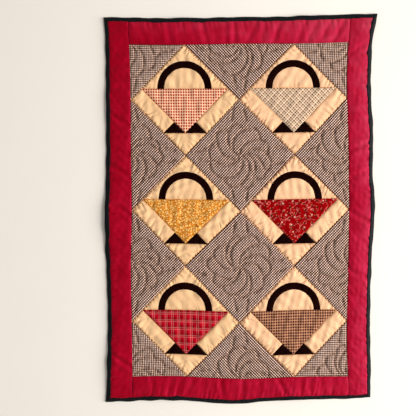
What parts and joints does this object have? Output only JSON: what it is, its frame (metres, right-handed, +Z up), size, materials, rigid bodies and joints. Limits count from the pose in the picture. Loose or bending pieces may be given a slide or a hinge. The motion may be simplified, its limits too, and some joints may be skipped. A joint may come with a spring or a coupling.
{
  "type": "crib quilt",
  "caption": "Small pieced quilt lying flat: patchwork blocks on point between quilted setting pieces, with a plain border and a dark binding.",
  "frame": {"origin": "centre of the quilt's box, on the surface it lies on", "axes": "+Z up from the face that shows, +Y towards the quilt's top edge, +X to its right"},
  "size_m": [0.7164, 1.0208, 0.0115],
  "materials": {
    "pieced_block": "matt plain-weave cotton in peach, with print and black patches",
    "check_cotton": "matt cotton in a small dark brown and cream check",
    "crimson_cotton": "matt plain-weave cotton in crimson",
    "binding": "matt folded cotton strip in blue-black"
  },
  "bodies": {
    "root": {"block_row1_left": "pieced_block", "block_row1_right": "pieced_block", "block_row2_left": "pieced_block", "block_row2_right": "pieced_block", "block_row3_left": "pieced_block", "block_row3_right": "pieced_block", "setting_square_upper": "check_cotton", "setting_square_lower": "check_cotton", "side_triangle_top": "check_cotton", "side_triangle_bottom": "check_cotton", "side_triangle_left_upper": "check_cotton", "side_triangle_left_lower": "check_cotton", "side_triangle_right_upper": "check_cotton", "side_triangle_right_lower": "check_cotton", "corner_triangle_top_left": "check_cotton", "corner_triangle_top_right": "check_cotton", "corner_triangle_bottom_left": "check_cotton", "corner_triangle_bottom_right": "check_cotton", "border_left": "crimson_cotton", "border_right": "crimson_cotton", "border_top": "crimson_cotton", "border_bottom": "crimson_cotton", "binding_left": "binding", "binding_right": "binding", "binding_top": "binding", "binding_bottom": "binding"}
  },
  "joints": []
}
